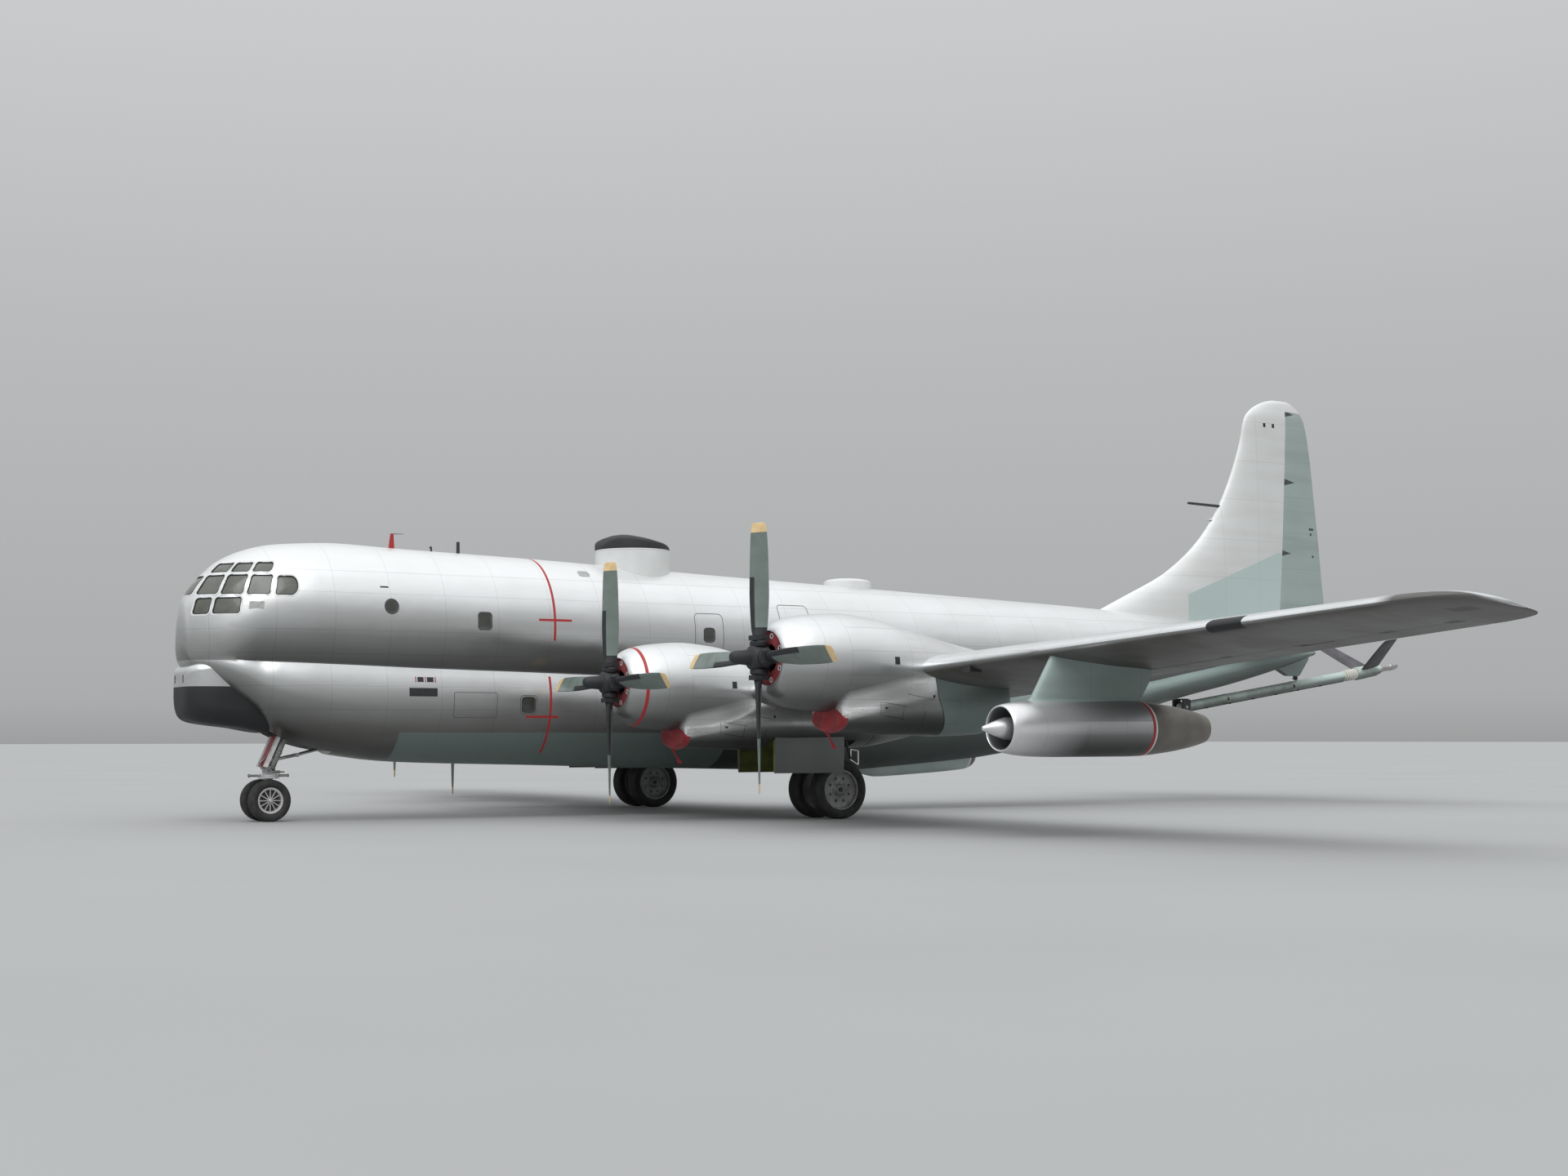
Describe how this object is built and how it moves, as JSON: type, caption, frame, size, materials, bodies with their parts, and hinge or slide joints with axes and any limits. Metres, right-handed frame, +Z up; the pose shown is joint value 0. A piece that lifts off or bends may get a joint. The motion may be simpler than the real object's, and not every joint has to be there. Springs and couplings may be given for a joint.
{
  "type": "military transport plane",
  "caption": "1:2 scale model of a propeller-driven military tanker transport with jet pods under its wings, a double-lobe hull, a tall fin and a stowed refuelling boom, parked on its wheels",
  "frame": {"origin": "on the ground under the middle of the bounding box", "axes": "+X aft from the nose, +Y to the aircraft's starboard side along its span, +Z up"},
  "size_m": [18.49, 21.525, 5.805],
  "materials": {
    "silver_skin": "aluminium paint, satin",
    "sage_skin": "faded grey-green paint, matt",
    "fin_white": "near-white paint, satin",
    "drum_white": "white paint over glass-fibre, matt",
    "radome_black": "black rubber paint, matt",
    "cockpit_glass": "clear, a little hazed",
    "cabin_grey": "matt grey paint and cloth",
    "engine_casting": "oily dark grey",
    "propeller_grey": "grey-green paint, satin",
    "dark_metal": "black paint, worn",
    "bare_metal": "bare metal, weathered",
    "gear_steel": "aluminium paint on steel, satin",
    "board_red": "red and white stripes, weathered",
    "tyre_rubber": "worn rubber, dusty"
  },
  "bodies": {
    "airframe": {"fuselage_nose": "silver_skin", "chin_radome": "radome_black", "cockpit_glazing": "cockpit_glass", "flight_deck": "cabin_grey", "fuselage_middle": "silver_skin", "fuselage_aft": "silver_skin", "boom_operator_pod": "sage_skin", "dorsal_drum": "drum_white", "nacelle_1": "silver_skin", "nacelle_2": "silver_skin", "nacelle_3": "silver_skin", "nacelle_4": "silver_skin", "wing_left": "silver_skin", "wing_right": "silver_skin", "engine_1": "engine_casting", "engine_2": "engine_casting", "engine_3": "engine_casting", "engine_4": "engine_casting", "jet_pod_left": "silver_skin", "jet_pod_right": "silver_skin", "jet_pylon_left": "sage_skin", "jet_pylon_right": "sage_skin", "fin": "fin_white", "tailplane_left": "silver_skin", "tailplane_right": "silver_skin", "nose_strut": "gear_steel", "nose_board": "board_red", "main_strut_left": "gear_steel", "main_strut_right": "gear_steel", "gear_door_outer_left": "silver_skin", "gear_door_outer_right": "silver_skin", "gear_door_inner_left": "silver_skin", "gear_door_inner_right": "silver_skin"},
    "propeller_1": {"propeller_1": "propeller_grey"},
    "propeller_2": {"propeller_2": "propeller_grey"},
    "propeller_3": {"propeller_3": "propeller_grey"},
    "propeller_4": {"propeller_4": "propeller_grey"},
    "flap_left": {"flap_left": "silver_skin"},
    "flap_right": {"flap_right": "silver_skin"},
    "aileron_left": {"aileron_left": "silver_skin"},
    "aileron_right": {"aileron_right": "silver_skin"},
    "elevator_left": {"elevator_left": "silver_skin"},
    "elevator_right": {"elevator_right": "silver_skin"},
    "rudder": {"rudder": "sage_skin"},
    "nose_steering": {"nose_fork": "gear_steel"},
    "nose_wheel_pair": {"nose_wheels": "bare_metal", "nose_tyre_left": "tyre_rubber", "nose_tyre_right": "tyre_rubber"},
    "main_wheel_pair_left": {"main_left_wheels": "bare_metal", "main_left_tyre_left": "tyre_rubber", "main_left_tyre_right": "tyre_rubber"},
    "main_wheel_pair_right": {"main_right_wheels": "bare_metal", "main_right_tyre_left": "tyre_rubber", "main_right_tyre_right": "tyre_rubber"},
    "boom_yoke": {"boom_yoke": "dark_metal"},
    "boom": {"boom_tube": "sage_skin"},
    "boom_extension": {"boom_extension": "bare_metal"},
    "ruddervator_left": {"ruddervator_left": "dark_metal"},
    "ruddervator_right": {"ruddervator_right": "dark_metal"}
  },
  "joints": [
    {"name": "propeller_1_spin", "type": "hinge", "parent": "airframe", "child": "propeller_1", "pos_m": [-4.935, -4.83, 1.66], "axis": [1, 0, 0], "continuous": true},
    {"name": "propeller_2_spin", "type": "hinge", "parent": "airframe", "child": "propeller_2", "pos_m": [-5.165, -2.1725, 1.49], "axis": [1, 0, 0], "continuous": true},
    {"name": "propeller_3_spin", "type": "hinge", "parent": "airframe", "child": "propeller_3", "pos_m": [-5.165, 2.1725, 1.49], "axis": [1, 0, 0], "continuous": true},
    {"name": "propeller_4_spin", "type": "hinge", "parent": "airframe", "child": "propeller_4", "pos_m": [-4.935, 4.83, 1.66], "axis": [1, 0, 0], "continuous": true},
    {"name": "flap_left_lower", "type": "hinge", "parent": "airframe", "child": "flap_left", "pos_m": [-1.92885, -0.82, 0.66255], "axis": [-0.0239, 0.9969, -0.0747], "range_deg": [0, 35]},
    {"name": "flap_right_lower", "type": "hinge", "parent": "airframe", "child": "flap_right", "pos_m": [-1.92885, 0.82, 0.66255], "axis": [0.0239, 0.9969, 0.0747], "range_deg": [0, 35]},
    {"name": "aileron_left_hinge", "type": "hinge", "parent": "airframe", "child": "aileron_left", "pos_m": [-1.89615, -6.55, 1.56468], "axis": [-0.0218, 0.9971, -0.0729], "range_deg": [-18, 18]},
    {"name": "aileron_right_hinge", "type": "hinge", "parent": "airframe", "child": "aileron_right", "pos_m": [-1.89615, 6.55, 1.56468], "axis": [0.0218, 0.9971, 0.0729], "range_deg": [-18, 18]},
    {"name": "elevator_left_hinge", "type": "hinge", "parent": "airframe", "child": "elevator_left", "pos_m": [6.755, -0.475, 2.32435], "axis": [-0.0479, 0.997, -0.0607], "range_deg": [-25, 20]},
    {"name": "elevator_right_hinge", "type": "hinge", "parent": "airframe", "child": "elevator_right", "pos_m": [6.755, 0.475, 2.32435], "axis": [0.0479, 0.997, 0.0607], "range_deg": [-25, 20]},
    {"name": "rudder_hinge", "type": "hinge", "parent": "airframe", "child": "rudder", "pos_m": [6.83, 0, 2.415], "axis": [0.0678, 0, 0.9977], "range_deg": [-25, 25]},
    {"name": "nose_steer", "type": "hinge", "parent": "airframe", "child": "nose_steering", "pos_m": [-8.235, 0, 0.53], "axis": [0, 0, 1], "range_deg": [-55, 55]},
    {"name": "nose_wheel_spin", "type": "hinge", "parent": "nose_steering", "child": "nose_wheel_pair", "pos_m": [-8.27, 0, 0.2285], "axis": [0, 1, 0], "continuous": true},
    {"name": "main_wheel_left_spin", "type": "hinge", "parent": "airframe", "child": "main_wheel_pair_left", "pos_m": [-2.415, -2.1725, 0.325], "axis": [0, 1, 0], "continuous": true},
    {"name": "main_wheel_right_spin", "type": "hinge", "parent": "airframe", "child": "main_wheel_pair_right", "pos_m": [-2.415, 2.1725, 0.325], "axis": [0, 1, 0], "continuous": true},
    {"name": "boom_azimuth", "type": "hinge", "parent": "airframe", "child": "boom_yoke", "pos_m": [4.955, 0, 1.33], "axis": [0, 0, 1], "range_deg": [-25, 25]},
    {"name": "boom_elevation", "type": "hinge", "parent": "boom_yoke", "child": "boom", "pos_m": [4.955, 0, 1.33], "axis": [0, 1, 0], "range_deg": [0, 40]},
    {"name": "boom_extend", "type": "slide", "parent": "boom", "child": "boom_extension", "axis": [0.9889, 0, 0.1487], "range_m": [0, 2.75]},
    {"name": "ruddervator_left_hinge", "type": "hinge", "parent": "boom", "child": "ruddervator_left", "pos_m": [8.515, 0, 1.8652], "axis": [0.0853, 0.8192, -0.5672], "range_deg": [-20, 20]},
    {"name": "ruddervator_right_hinge", "type": "hinge", "parent": "boom", "child": "ruddervator_right", "pos_m": [8.515, 0, 1.8652], "axis": [-0.0853, 0.8192, 0.5672], "range_deg": [-20, 20]}
  ],
  "couplings": [
    {"joint": "flap_right_lower", "follows": "flap_left_lower", "ratio": 1},
    {"joint": "aileron_right_hinge", "follows": "aileron_left_hinge", "ratio": -1},
    {"joint": "elevator_right_hinge", "follows": "elevator_left_hinge", "ratio": 1}
  ]
}
